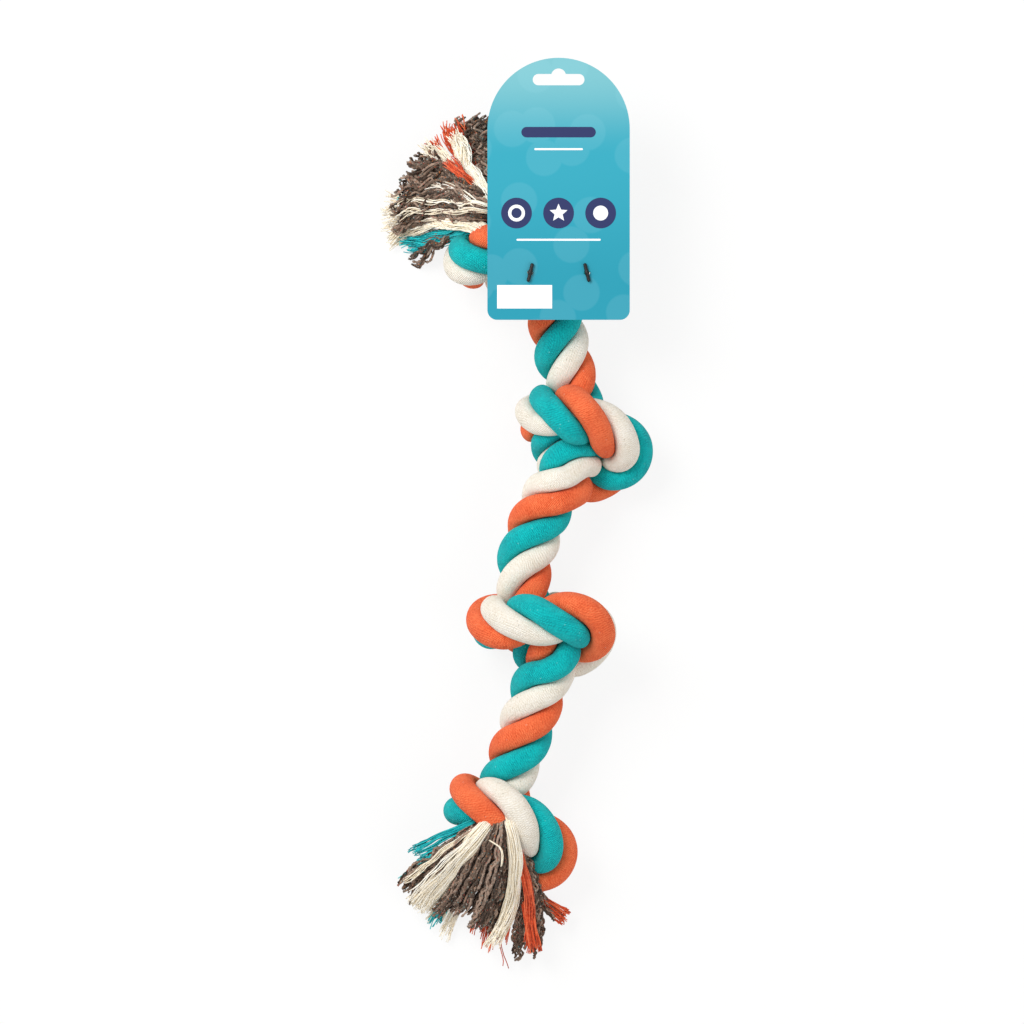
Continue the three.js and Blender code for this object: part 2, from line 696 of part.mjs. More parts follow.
for (let step = 0; step <= ARC_STEPS; step++) {
  const angle = Math.PI * (1 + step / ARC_STEPS);
  const aside = loopRadius * Math.cos(angle);
  const down = loopRadius * Math.sin(angle);
  loopPoints.push(vec(neck.x + aside, neck.y, neck.z + down));
}
loopPoints.push(...legPoints(1).reverse());
const loopSection = new THREE.Shape();
loopSection.absarc(0, 0, ELASTIC_RADIUS, 0, TURN, false);
const loop = new THREE.ExtrudeGeometry(loopSection, {
  steps: LOOP_STEPS,
  curveSegments: RING_SIDES / 2,
  extrudePath: new THREE.CatmullRomCurve3(loopPoints, false, "centripetal"),
});
addPiece(toy, "tag_elastic_loop", loop, ELASTIC_COLOUR, ELASTIC_ROUGHNESS);

// The origin is on the floor under the middle of the toy's box
const box = new THREE.Box3().setFromObject(toy);
const middle = box.getCenter(vec(0, 0, 0));
toy.position.set(-middle.x, -middle.y, -box.min.z);

export default toy;
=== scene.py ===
import math

import bmesh
import bpy
import numpy as np
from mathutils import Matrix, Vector
from mathutils.kdtree import KDTree


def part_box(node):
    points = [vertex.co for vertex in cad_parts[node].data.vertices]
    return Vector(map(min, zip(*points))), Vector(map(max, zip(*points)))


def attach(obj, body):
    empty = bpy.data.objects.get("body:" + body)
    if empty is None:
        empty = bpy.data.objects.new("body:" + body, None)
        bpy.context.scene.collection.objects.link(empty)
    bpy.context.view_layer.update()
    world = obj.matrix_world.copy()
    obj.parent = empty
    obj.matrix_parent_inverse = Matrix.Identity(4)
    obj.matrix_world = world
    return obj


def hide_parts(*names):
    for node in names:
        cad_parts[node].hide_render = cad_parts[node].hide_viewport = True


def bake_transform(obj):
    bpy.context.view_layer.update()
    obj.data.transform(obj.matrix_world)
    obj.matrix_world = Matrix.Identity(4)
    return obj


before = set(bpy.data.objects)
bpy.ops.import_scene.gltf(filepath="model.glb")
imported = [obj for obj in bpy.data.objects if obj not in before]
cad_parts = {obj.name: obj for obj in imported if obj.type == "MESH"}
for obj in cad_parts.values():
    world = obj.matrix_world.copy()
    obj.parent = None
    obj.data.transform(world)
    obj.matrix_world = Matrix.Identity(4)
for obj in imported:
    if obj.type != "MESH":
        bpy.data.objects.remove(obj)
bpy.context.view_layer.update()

# Strands. Three soft strands, teal, orange and cream, are laid together into one rope and knotted.
# Each is a cover of dyed cotton-blend yarns twisted round grey core yarns, so it is plump, matt and
# fuzzy, round where it is free and pressed flat where it lies against the next strand or the floor.
STRAND_COLOURS = ("teal", "orange", "cream")
STRETCHES = ("knot_1", "span_1", "knot_2", "span_2", "knot_3", "span_3", "knot_4")
RING_POINTS = 8  # of each ring of a soft solid
STRAND_RADIUS = 0.0088
CREASE = 0.00012  # left between two strands that press together
SKIN_STEP = 0.0014  # between the rings of a strand's skin
SKIN_SIDES = 32
SKIN_EASING = 3  # times that the skin is smoothed along the strand
LEAST_RADIUS = 0.001
ROUNDING = 9  # how sharply a pressed face turns into the round side
UNEVENNESS = 0.00018  # how far a strand swells and thins along its length
SWELLS = ((0.0031, 0), (0.0047, 2), (0.0083, 4))  # length for each radian, and phase, of these waves
OPEN_ENDS = (0.010, 0.018)  # how far back from its two ends a strand has come apart into yarns
TINY = 1e-6  # keeps a division from zero


def ring_rows(node):
    """The rings of points of a soft solid, from its end nearest the tag to its other end."""
    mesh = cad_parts[node].data
    places = {}
    corner = [places.setdefault(tuple(round(c, 6) for c in v.co), len(places)) for v in mesh.vertices]
    joined = [set() for _ in places]
    for edge in mesh.edges:
        a, b = (corner[v] for v in edge.vertices)
        joined[a].add(b)
        joined[b].add(a)
    point = np.array(list(places))
    hub = next(i for i, near in enumerate(joined) if len(near) == RING_POINTS)
    ring = joined[hub]
    seen = {hub}
    rows = []
    while len(ring) == RING_POINTS:
        start = min(ring)
        order = [start]
        while len(order) < RING_POINTS:
            order.append(next(i for i in joined[order[-1]] & ring if i not in order))
        row = point[order]
        if rows:
            both = (row, row[::-1])
            turns = [np.roll(way, k, axis=0) for way in both for k in range(RING_POINTS)]
            row = min(turns, key=lambda turned: np.square(turned - rows[-1]).sum())
        rows.append(row)
        seen |= ring
        ring = set().union(*(joined[i] for i in ring)) - seen
    rows = np.array(rows)
    return rows if rows[0, :, 1].mean() > rows[-1, :, 1].mean() else rows[::-1]


def ring_centres(rows):
    """The point of each ring that the lines between its opposite points go through."""
    half = rows.shape[1] // 2
    near, far = rows[:, :half], rows[:, half:]
    way = (far - near) / np.linalg.norm(far - near, axis=2, keepdims=True)
    across = np.eye(3) - way[..., :, None] * way[..., None, :]
    pulled = (across @ near[..., None]).sum(1)
    return np.linalg.solve(across.sum(1), pulled)[..., 0]


def smooth_path(points, step):
    """Points an even step apart along a smooth curve through these points."""
    along = np.concatenate([[0], np.cumsum(np.linalg.norm(np.diff(points, axis=0), axis=1))])
    slope = np.gradient(points, along, axis=0)
    fine = np.linspace(0, along[-1], 4 * round(along[-1] / step))
    i = np.clip(np.searchsorted(along, fine, side="right") - 1, 0, len(along) - 2)
    gap = (along[i + 1] - along[i])[:, None]
    t = (fine - along[i])[:, None] / gap
    curve = (1 + 2 * t) * (1 - t) ** 2 * points[i] + t * t * (3 - 2 * t) * points[i + 1]
    curve += gap * t * (1 - t) ** 2 * slope[i] - gap * t * t * (1 - t) * slope[i + 1]
    run = np.concatenate([[0], np.cumsum(np.linalg.norm(np.diff(curve, axis=0), axis=1))])
    even = np.linspace(0, run[-1], round(run[-1] / step) + 1)
    return np.stack([np.interp(even, run, curve[:, k]) for k in range(3)], axis=1)


def side_ways(path, sides):
    """The ways out from each point of a path, square to it, turning no more than the path bends."""
    tangent = np.gradient(path, axis=0)
    tangent /= np.linalg.norm(tangent, axis=1, keepdims=True)
    normal = np.cross(tangent[0], (0.3, 0.2, 1.0))  # any way that the path doesn't start in
    ways = np.empty((len(path), sides, 3))
    angle = 2 * math.pi * np.arange(sides)[:, None] / sides
    for i, forward in enumerate(tangent):
        normal = normal - forward * (normal @ forward)
        normal /= np.linalg.norm(normal)
        ways[i] = np.cos(angle) * normal + np.sin(angle) * np.cross(forward, normal)
    return ways


def eased(values, passes):
    """A table of radii, smoothed along the strand and a little round it."""
    for _ in range(passes):
        padded = np.concatenate([values[:1], values, values[-1:]])
        values = (padded[:-2] + 2 * padded[1:-1] + padded[2:]) / 4
    return (np.roll(values, 1, axis=1) + 2 * values + np.roll(values, -1, axis=1)) / 4


strand_path = {}
strand_cuts = {}
for colour in STRAND_COLOURS:
    centres = [ring_centres(ring_rows(f"{stretch}_{colour}_strand")) for stretch in STRETCHES]
    borders = [(a[-1] + b[0]) / 2 for a, b in zip(centres, centres[1:])]
    inner = [part[1:-1] for part in centres]
    inner = np.concatenate([centres[0][:1], *inner, centres[-1][-1:]])
    strand_path[colour] = smooth_path(inner, SKIN_STEP)
    ends = [np.linalg.norm(strand_path[colour] - border, axis=1).argmin() for border in borders]
    first, last = (round(open_end / SKIN_STEP) for open_end in OPEN_ENDS)
    strand_cuts[colour] = [first, *ends, len(strand_path[colour]) - 1 - last]

strand_skin = {}
skin_normals = {}
all_points = np.concatenate(list(strand_path.values()))
tree = KDTree(len(all_points))
for i, point in enumerate(all_points):
    tree.insert(point, i)
tree.balance()
for k, (colour, path) in enumerate(strand_path.items()):
    ways = side_ways(path, SKIN_SIDES)
    limit = np.full(ways.shape[:2], np.inf)
    for i, point in enumerate(path):
        found = tree.find_range(point, 2 * STRAND_RADIUS)
        near = [index for _, index, distance in found if distance > 0]
        gap = all_points[near] - point
        towards = ways[i] @ gap.T
        half_way = np.square(gap).sum(1) / (2 * np.maximum(towards, TINY))
        down = -ways[i][:, 2]
        drop = np.where(down > 0, point[2] / np.maximum(down, TINY), np.inf)
        limit[i] = np.minimum(half_way.min(axis=1), drop)
    limit = np.maximum(limit - CREASE, LEAST_RADIUS)
    radius = (STRAND_RADIUS**-ROUNDING + limit**-ROUNDING) ** (-1 / ROUNDING)
    run = np.arange(len(path)) * SKIN_STEP
    swell = sum(np.sin(run / wave + k + phase) for wave, phase in SWELLS) / len(SWELLS)
    radius = eased(radius, SKIN_EASING) + UNEVENNESS * swell[:, None]
    skin = path[:, None] + ways * radius[..., None]
    normal = np.cross(np.roll(skin, -1, axis=1) - np.roll(skin, 1, axis=1), np.gradient(skin, axis=0))
    strand_skin[colour] = skin
    skin_normals[colour] = normal / np.linalg.norm(normal, axis=2, keepdims=True)


def linear(hex_colour):
    """An sRGB hex colour as the linear values that shaders take."""
    parts = [int(hex_colour[i : i + 2], 16) / 255 for i in (1, 3, 5)]
    return (*(p / 12.92 if p <= 0.04045 else ((p + 0.055) / 1.055) ** 2.4 for p in parts), 1.0)


def add(material, kind, inputs=None, **settings):
    """A new shader node with its settings. Each input takes a value or another node's output."""
    made = material.node_tree.nodes.new("ShaderNode" + kind)
    for name, value in settings.items():
        setattr(made, name, value)
    for name, value in (inputs or {}).items():
        if isinstance(value, bpy.types.NodeSocket):
            material.node_tree.links.new(value, made.inputs[name])
        else:
            made.inputs[name].default_value = value
    return made


def new_material(name):
    """A material with no shader nodes yet."""
    material = bpy.data.materials.new(name)
    material.use_nodes = True
    material.node_tree.nodes.clear()
    return material


def placed(name, data):
    """A new object in the scene that shows this mesh, lamp or camera."""
    made = bpy.data.objects.new(name, data)
    bpy.context.scene.collection.objects.link(made)
    return made


def new_piece(name, points, faces, material, uvs=None, normals=None):
    """A mesh, smooth but for its end faces. uvs holds one (u, v) for each corner of each face, and
    normals one for each point, where the skin goes on in another piece."""
    mesh = bpy.data.meshes.new(name)
    mesh.from_pydata(points, [], faces)
    if uvs is not None:
        layer = mesh.uv_layers.new(name="lay")
        layer.data.foreach_set("uv", np.asarray(uvs, np.float32).ravel())
    mesh.polygons.foreach_set("use_smooth", [len(face) == 4 for face in faces])
    mesh.materials.append(material)
    mesh.update()
    if normals is not None:
        flat = (0, 0, 0)
        mesh.normals_split_custom_set([normals[i] if len(f) == 4 else flat for f in faces for i in f])
    return placed(name, mesh)


def tube_faces(rings, sides, first=0):
    """The faces of a closed tube of rings, and their corners as (side, ring) steps for a lay map."""
    faces, steps = [], []
    for ring in range(rings - 1):
        for side in range(sides):
            a = first + ring * sides + side
            b = first + ring * sides + (side + 1) % sides
            faces.append((a, b, b + sides, a + sides))
            steps += [(side, ring), (side + 1, ring), (side + 1, ring + 1), (side, ring + 1)]
    last = first + (rings - 1) * sides
    faces.append(tuple(range(first + sides - 1, first - 1, -1)))
    steps += [(side, 0) for side in range(sides - 1, -1, -1)]
    faces.append(tuple(range(last, last + sides)))
    steps += [(side, rings - 1) for side in range(sides)]
    return faces, np.array(steps, float)


YARNS_ROUND = 44  # cover yarns side by side round a strand, about 1.2 mm apart
YARN_TURN = 0.052  # the length of strand in which a cover yarn goes once round it
YARN_DRIFT = 0.03  # how far, of one turn, a cover yarn strays from its line
DRIFTS_PER_METRE = 60.0  # one each 17 mm along the strand
FELT_PER_METRE = 700.0  # grains of felt, drawn 1.4 mm across, coarser than the real fibres
CLOUDS_PER_METRE = 90.0  # paler and darker patches, 11 mm across
FLECKS_PER_METRE = 420.0  # places for a fleck, 2.4 mm apart, of which few have one


def cotton(name, shade, body, light, fleck):
    """Soft-twisted cotton-blend yarn, dyed: matt and felted, with faint lines between the yarns, bumped in
    and darkened by painted shade in their grooves, and flecks of undyed fibre. The lines run back along the
    rope, across the lay of the strands."""
    material = new_material(name)
    lay = add(material, "UVMap", uv_map="lay")
    split = add(material, "SeparateXYZ", {0: lay.outputs[0]})
    turned = add(
        material, "Math",
        {0: split.outputs[1], 1: 1 / YARN_TURN, 2: split.outputs[0]},
        operation="MULTIPLY_ADD",
    )
    wander = add(material, "TexNoise", {"Vector": lay.outputs[0], "Scale": DRIFTS_PER_METRE, "Detail": 2.0})
    drift = add(
        material, "Math",
        {0: wander.outputs[0], 1: YARN_DRIFT, 2: turned.outputs[0]},
        operation="MULTIPLY_ADD",
    )
    count = add(material, "Math", {0: drift.outputs[0], 1: float(YARNS_ROUND)}, operation="MULTIPLY")
    wave = add(material, "Math", {0: count.outputs[0], 1: 2 * math.pi}, operation="MULTIPLY")
    crest = add(material, "Math", {0: wave.outputs[0]}, operation="SINE")
    place = add(material, "TexCoord")
    spot = place.outputs["Object"]
    felt = add(
        material, "TexNoise",
        {"Vector": spot, "Scale": FELT_PER_METRE, "Detail": 4.0, "Roughness": 0.7},
    )
    cloud = add(material, "TexNoise", {"Vector": spot, "Scale": CLOUDS_PER_METRE, "Detail": 3.0})
    fibre = add(material, "TexVoronoi", {"Vector": spot, "Scale": FLECKS_PER_METRE}, feature="F1")
    speck = add(
        material, "MapRange",
        {
            "Value": fibre.outputs["Distance"], "From Min": 0.16, "From Max": 0.26,
            "To Min": 0.4, "To Max": 0.0,
        },
    )
    rare = add(material, "Math", {0: fibre.outputs["Color"], 1: 0.82}, operation="GREATER_THAN")
    flecked = add(material, "Math", {0: speck.outputs[0], 1: rare.outputs[0]}, operation="MULTIPLY")
    # The tone is darker where the yarn wave dips, which is painted shade in the grooves between the yarns.
    # The felt and the patches are the yarn's own uneven colour.
    tone = add(
        material, "Math",
        {0: crest.outputs[0], 1: 0.2, 2: felt.outputs[0]},
        operation="MULTIPLY_ADD",
    )
    tone = add(
        material, "Math",
        {0: cloud.outputs[0], 1: 0.5, 2: tone.outputs[0]},
        operation="MULTIPLY_ADD",
    )
    ramp = add(material, "ValToRGB", {0: tone.outputs[0]})
    ramp.color_ramp.elements[0].position = 0.42
    ramp.color_ramp.elements[0].color = linear(shade)
    ramp.color_ramp.elements[1].position = 1.0
    ramp.color_ramp.elements[1].color = linear(light)
    ramp.color_ramp.elements.new(0.72).color = linear(body)
    dyed = add(
        material, "Mix",
        {"Factor": flecked.outputs[0], "A": ramp.outputs[0], "B": linear(fleck)},
        data_type="RGBA",
    )
    height = add(
        material, "Math",
        {0: felt.outputs[0], 1: 0.9, 2: crest.outputs[0]},
        operation="MULTIPLY_ADD",
    )
    bump = add(material, "Bump", {"Height": height.outputs[0], "Strength": 0.6, "Distance": 0.0005})
    surface = add(
        material, "BsdfPrincipled",
        {
            "Base Color": dyed.outputs["Result"], "Roughness": 0.95, "Specular IOR Level": 0.08,
            "Sheen Weight": 0.06, "Sheen Roughness": 0.6, "Normal": bump.outputs[0],
        },
    )
    add(material, "OutputMaterial", {"Surface": surface.outputs[0]})
    return material


strand_cotton = {
    "teal": cotton("teal_dyed_cotton", "#008790", "#00b5b8", "#10c9c8", "#86dcd6"),
    "orange": cotton("orange_dyed_cotton", "#d84f28", "#f86b3e", "#ff8655", "#f5bda3"),
    "cream": cotton("cream_undyed_cotton", "#e3d7c2", "#faf2e3", "#fffaf1", "#94846f"),
}

for colour, path in strand_path.items():
    for k, stretch in enumerate(STRETCHES):
        node = f"{stretch}_{colour}_strand"
        start, end = strand_cuts[colour][k : k + 2]
        halves = [(start, end, "")]
        if stretch.startswith("span"):
            middle = (start + end) // 2
            halves = [(start, middle, "_upper"), (middle, end, "_lower")]
        for a, b, half in halves:
            rows = strand_skin[colour][a : b + 1]
            faces, steps = tube_faces(len(rows), SKIN_SIDES)
            lay = (steps + (0, a)) * (1 / SKIN_SIDES, SKIN_STEP)
            name = f"{stretch}_{colour}_skin{half}"
            normals = skin_normals[colour][a : b + 1].reshape(-1, 3)
            piece = new_piece(name, rows.reshape(-1, 3), faces, strand_cotton[colour], lay, normals)
            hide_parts(node)
            if not half:
                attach(piece, stretch)
            elif half == "_upper":
                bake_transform(piece)
            else:
                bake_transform(piece)

# Tassels. Past each end knot the strands come apart into their yarns: thin dyed cover threads in
# loose locks, and thick grey two-ply core yarns spun from recycled fibre, all cut off and frayed.
# They come up out of the knot, drape over its strands and spread in a fan on the floor.
MM = 0.001
# The two kinds of yarn, in millimetres. step is between the rings of a yarn's tube, wander and crimp
# are how far and how tightly it waves, uneven is the share by which the shortest falls short of its
# lock's reach, and ply is how deep its two plies show.
THREAD = {
    "radius": 0.32, "sides": 5, "step": 2.8, "wander": 1.0, "crimp": 0.3, "uneven": 0.26, "ply": 0.0,
}
CORE_YARN = {
    "radius": 0.95, "sides": 8, "step": 1.1, "wander": 1.3, "crimp": 0.75, "uneven": 0.32, "ply": 0.24,
}
PLY_PITCH = 6.5  # the length of a core yarn in which its two plies go once round
CLUMP = 6  # yarns of a lock that keep together
CLUMP_LAYER = 0.6  # share of a yarn's layer in its lock that it has from its clump
CLUMP_STRAY = 0.7  # how far a clump strays from its lock, where the lock strays 1
YARN_STRAY = 0.6  # how far a yarn strays from its clump
WAVES = (36, 18, 9)  # lengths of the waves that a yarn keeps from its twist
WAVE_RANGE = (0.8, 1.25)  # of these lengths, from yarn to yarn
SPREAD = 0.6  # under 1, so that a lock spreads most near its root
DOME = 0.8  # how round a lock's top is, from 0, flat, to 1, with no height at its sides
LEAST_HEIGHT = 1.1  # of a yarn's middle above the floor, in radii
LUMPS = 0.4  # size of the thick and thin places of a plied yarn, as a share of its ply
LUMP_LIMIT = 1.5
ROOT_REACH = 12  # how far back into the knot a lock starts
ROOT_DIVE = 1.3  # how steeply it goes down into the knot there
FRAY = 1.6  # how far the tips stray from their lock, in the last quarter of their run
YARN_SEED = 7
CARD_FROM_VIEW = Vector((0.0288, 0.1998))  # from the middle of the photographed view to the card's

card_low, card_high = (Vector(corner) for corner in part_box("tag_card"))
view_middle = ((card_low + card_high) / 2).xy - CARD_FROM_VIEW

# Each lock in millimetres: the tuft it belongs to, where it leaves the knot, across and along from the
# mouth of the knot, the ways it leaves and ends in degrees from +X, its reach, its width at both
# ends, its depth, its height above the floor at both ends and its count of yarns. A mouth is given
# from the middle of the photographed view, fall is the run in which a lock comes down to its end's
# height, way is the way that the tassel lies, and tangle is how wavy its yarns are.
TASSELS = [
    {
        "name": "top_tassel", "knot": "knot_1", "mouth": (-15.5, 186.0), "fall": 52, "way": 150,
        "tangle": 1.9,
        "locks": [
            ("orange_core_yarns", (3, 3), (80, 82), 56, (10, 18), 8, (32, 4), 30),
            ("orange_core_yarns", (3, 3), (99, 101), 62, (10, 18), 9, (36, 6), 60),
            ("orange_yarns", (2, 2), (113, 115), 65, (8, 16), 5, (34, 7), 130),
            ("orange_yarns", (0, 2), (127, 129), 58, (5, 8), 4, (32, 9), 50),
            ("orange_yarns", (0, 4), (124, 130), 42, (4, 7), 3, (46, 26), 30),
            ("cream_yarns", (-1, 5), (132, 134), 58, (6, 11), 4, (38, 12), 90),
            ("cream_core_yarns", (-1, 5), (138, 143), 58, (9, 16), 7, (40, 10), 44),
            ("cream_core_yarns", (-1, 5), (148, 160), 60, (12, 22), 10, (46, 12), 80),
            ("teal_yarns", (0, 0), (164, 168), 60, (3, 9), 2, (30, 8), 20),
            ("cream_yarns", (0, 0), (172, 175), 66, (4, 14), 4, (28, 8), 80),
            ("cream_yarns", (0, 0), (180, 184), 70, (6, 14), 4, (30, 5), 70),
            ("teal_core_yarns", (0, 0), (160, 178), 62, (14, 26), 10, (52, 10), 90),
            ("cream_yarns", (0, 2), (158, 152), 58, (8, 14), 3, (58, 18), 8),
            ("cream_yarns", (0, 2), (172, 180), 62, (8, 14), 3, (60, 18), 12),
            ("cream_yarns", (0, -7), (186, 189), 67, (4, 8), 3, (36, 4), 50),
            ("teal_core_yarns", (-6, -9), (198, 200), 50, (5, 9), 4, (34, 3), 18),
            ("teal_yarns", (-6, -9), (196, 192), 52, (6, 9), 3, (42, 3), 80),
            ("cream_yarns", (0, -14), (140, 182), 64, (8, 12), 6, (57, 7), 190),
            ("cream_yarns", (4, 1), (117, 119), 58, (6, 8), 5, (54, 18), 150),
            ("cream_yarns", (-2, 18), (150, 215), 12, (1, 2), 1, (48, 6), 3),
            ("cream_yarns", (-8, 3), (120, 200), 10, (1, 2), 1, (58, 10), 3),
        ],
    },
    {
        "name": "bottom_tassel", "knot": "knot_4", "mouth": (-9.3, -196.5), "fall": 75, "way": 250,
        "tangle": 0.65,
        "locks": [
            ("cream_yarns", (-4, 1), (233, 235), 74, (4, 8), 3, (40, 3), 60),
            ("teal_yarns", (-4, 1), (238, 240), 77, (4, 8), 3, (40, 3), 60),
            ("cream_yarns", (-4, 1), (245, 247), 79, (4, 9), 3, (40, 3), 60),
            ("orange_yarns", (2, 1), (262, 259), 80, (5, 15), 3, (38, 3), 80),
            ("orange_yarns", (18, -40), (326, 325), 33, (5, 10), 5, (12, 8), 90),
            ("orange_core_yarns", (20, -36), (310, 310), 33, (5, 8), 4, (16, 5), 10),
            ("orange_core_yarns", (11, -8), (292, 274), 78, (8, 20), 8, (44, 8), 60),
            ("teal_yarns", (-14, 1), (214, 210), 45, (10, 20), 6, (50, 10), 130),
            ("teal_yarns", (-14, 1), (216, 217), 64, (3, 8), 2, (46, 8), 10),
            ("teal_core_yarns", (-13, -1), (217, 220), 64, (8, 15), 9, (53, 8), 50),
            ("orange_yarns", (12, -22), (270, 257), 54, (3, 6), 2, (34, 5), 40),
            ("orange_yarns", (13, -12), (287, 277), 64, (4, 7), 3, (52, 14), 70),
            ("orange_yarns", (17, -38), (281, 279), 42, (5, 8), 4, (30, 9), 80),
            ("cream_core_yarns", (1, 2), (260, 250), 69, (12, 42), 15, (55, 9), 130),
            ("cream_yarns", (8, 2), (286, 261), 80, (7, 9), 6, (64, 18), 190),
            ("cream_yarns", (-6, 3), (229, 230), 72, (8, 13), 7, (60, 13), 330),
            ("cream_yarns", (-13, -1), (220, 222), 62, (6, 18), 2, (60, 20), 14),
            ("cream_yarns", (-1, -9), (-30, -76), 15, (1, 2), 1, (69, 42), 3),
            ("orange_yarns", (5, -30), (270, 258), 60, (2, 6), 2, (20, 2), 2),
            ("orange_yarns", (5, -30), (262, 271), 62, (2, 6), 2, (20, 2), 2),
        ],
    },
]


def wander(run, crimp, rng):
    """How far each yarn strays to one side and the other along its run: smooth waves, about 1 mm,
    each half as long as the one before it and smaller by its crimp."""
    stray = np.zeros(run.shape)
    for k, wave in enumerate(WAVES):
        length = wave * rng.uniform(*WAVE_RANGE, (len(run), 1))
        size = rng.normal(size=(len(run), 1)) * crimp**k
        stray += size * np.sin(2 * math.pi * (run / length + rng.random((len(run), 1))))
    return stray


def lock_paths(lock, tassel, yarn, rng):
    """The middle line of each yarn of a lock, as an array (yarns, points, 3) in millimetres."""
    _, root, (leave, end), reach, (narrow, wide), depth, (high, low), count = lock
    rings = round((reach + ROOT_REACH) / yarn["step"])
    clump = np.arange(count) // CLUMP
    clumps = clump[-1] + 1
    place = (np.arange(count) + rng.random(count)) / count
    middle = np.bincount(clump, place) / np.bincount(clump)
    aside = place + middle[clump] - 1
    layer = CLUMP_LAYER * rng.random(clumps)[clump] + (1 - CLUMP_LAYER) * rng.random(count)
    length = 1 - yarn["uneven"] * (rng.random(clumps)[clump] + rng.random(count)) / 2
    share = np.linspace(-ROOT_REACH / reach, 1, rings) * np.ones((count, 1))
    share = np.where(share > 0, share * length[:, None], share)
    run = reach * share
    out = np.clip(share, 0, 1)
    angle = np.radians(leave + (end - leave) * out)
    along = np.stack([np.cos(angle), np.sin(angle)], axis=2)
    across = np.stack([-along[..., 1], along[..., 0]], axis=2)
    loose = yarn["wander"] * tassel["tangle"] * np.sqrt(out)
    crimp = yarn["crimp"]
    sway, bob = (
        wander(run[:1], crimp, rng)
        + CLUMP_STRAY * wander(run[:clumps], crimp, rng)[clump]
        + YARN_STRAY * wander(run, crimp, rng)
        for _ in range(2)
    )
    stray = FRAY * np.clip(4 * out - 3, 0, 1) ** 2
    width = narrow + (wide - narrow) * out**SPREAD
    offset = aside[:, None] * width / 2 + loose * sway + stray * rng.normal(size=(count, 1))
    mouth = np.array(view_middle) / MM + tassel["mouth"]
    flat = mouth + root + run[..., None] * along + offset[..., None] * across
    fall = 0.5 + 0.5 * np.cos(math.pi * np.clip(run / tassel["fall"], 0, 1))
    dome = np.sqrt(1 - DOME * np.clip(aside, -1, 1) ** 2)
    lift = (layer * dome)[:, None] * depth + loose * bob + ROOT_DIVE * np.minimum(run, 0)
    height = low + (high - low) * fall + lift + stray * rng.normal(size=(count, 1))
    height = np.maximum(height, LEAST_HEIGHT * yarn["radius"])
    return np.concatenate([flat, height[..., None]], axis=2)


def yarn_tubes(paths, yarn, rng):
    """The points of a tube round each path, (yarns, points, sides, 3). A plied yarn has two lobes."""
    tangent = np.gradient(paths, axis=1)
    tangent /= np.linalg.norm(tangent, axis=2, keepdims=True)
    level = np.cross((0, 0, 1), tangent)
    level /= np.linalg.norm(level, axis=2, keepdims=True)
    upright = np.cross(tangent, level)
    count, rings = paths.shape[:2]
    side = 2 * math.pi * np.arange(yarn["sides"]) / yarn["sides"]
    ply = 2 * math.pi * yarn["step"] * np.arange(rings)[:, None] / PLY_PITCH + side
    ply = ply + 2 * math.pi * rng.random((count, 1, 1))
    lump = rng.normal(size=(count, rings, 1)).clip(-LUMP_LIMIT, LUMP_LIMIT)
    lump = 1 + LUMPS * yarn["ply"] * lump
    radius = yarn["radius"] * lump * (1 - yarn["ply"] + yarn["ply"] * np.cos(2 * ply))
    way = np.cos(side)[:, None] * level[:, :, None] + np.sin(side)[:, None] * upright[:, :, None]
    return paths[:, :, None] + way * radius[..., None]


FIBRES_PER_METRE = 620.0  # drawn 1.6 mm across, coarser than the real fibres
WASTE_PER_METRE = 1300.0  # places for a fleck of other fibre, 0.8 mm apart


def yarn_material(name, shade, body, light, flecks=()):
    """Loose cut yarn: matt and fibrous, each yarn a little lighter or darker than the next one, with
    flecks of other fibres where it is spun from recycled waste."""
    material = new_material(name)
    lay = add(material, "UVMap", uv_map="lay")
    split = add(material, "SeparateXYZ", {0: lay.outputs[0]})
    yarn = add(material, "Math", {0: split.outputs[0]}, operation="FLOOR")
    own = add(material, "TexWhiteNoise", {"W": yarn.outputs[0]}, noise_dimensions="1D")
    place = add(material, "TexCoord")
    spot = place.outputs["Object"]
    fibre = add(
        material, "TexNoise",
        {"Vector": spot, "Scale": FIBRES_PER_METRE, "Detail": 4.0, "Roughness": 0.7},
    )
    tone = add(
        material, "Math",
        {0: own.outputs[0], 1: 0.5, 2: fibre.outputs[0]},
        operation="MULTIPLY_ADD",
    )
    ramp = add(material, "ValToRGB", {0: tone.outputs[0]})
    ramp.color_ramp.elements[0].position = 0.48
    ramp.color_ramp.elements[0].color = linear(shade)
    ramp.color_ramp.elements[1].position = 1.0
    ramp.color_ramp.elements[1].color = linear(light)
    ramp.color_ramp.elements.new(0.74).color = linear(body)
    colour = ramp.outputs[0]
    if flecks:
        cell = add(material, "TexVoronoi", {"Vector": spot, "Scale": WASTE_PER_METRE}, feature="F1")
        parts = add(material, "SeparateColor", {0: cell.outputs["Color"]})
        rare = add(
            material, "MapRange",
            {"Value": parts.outputs[0], "From Min": 0.92, "From Max": 0.93, "To Max": 0.6},
        )
        kinds = add(material, "ValToRGB", {0: parts.outputs[1]})
        kinds.color_ramp.interpolation = "CONSTANT"
        kinds.color_ramp.elements[0].color = linear(flecks[0])
        kinds.color_ramp.elements[1].position = 1 - 1 / len(flecks)
        kinds.color_ramp.elements[1].color = linear(flecks[-1])
        for k, fleck in enumerate(flecks[1:-1], 1):
            kinds.color_ramp.elements.new(k / len(flecks)).color = linear(fleck)
        mixed = add(
            material, "Mix",
            {"Factor": rare.outputs[0], "A": colour, "B": kinds.outputs[0]},
            data_type="RGBA",
        )
        colour = mixed.outputs["Result"]
    bump = add(material, "Bump", {"Height": fibre.outputs[0], "Strength": 0.4, "Distance": 0.0003})
    surface = add(
        material, "BsdfPrincipled",
        {
            "Base Color": colour, "Roughness": 0.92, "Specular IOR Level": 0.2,
            "Sheen Weight": 0.15, "Sheen Roughness": 0.5, "Normal": bump.outputs[0],
        },
    )
    add(material, "OutputMaterial", {"Surface": surface.outputs[0]})
    return material


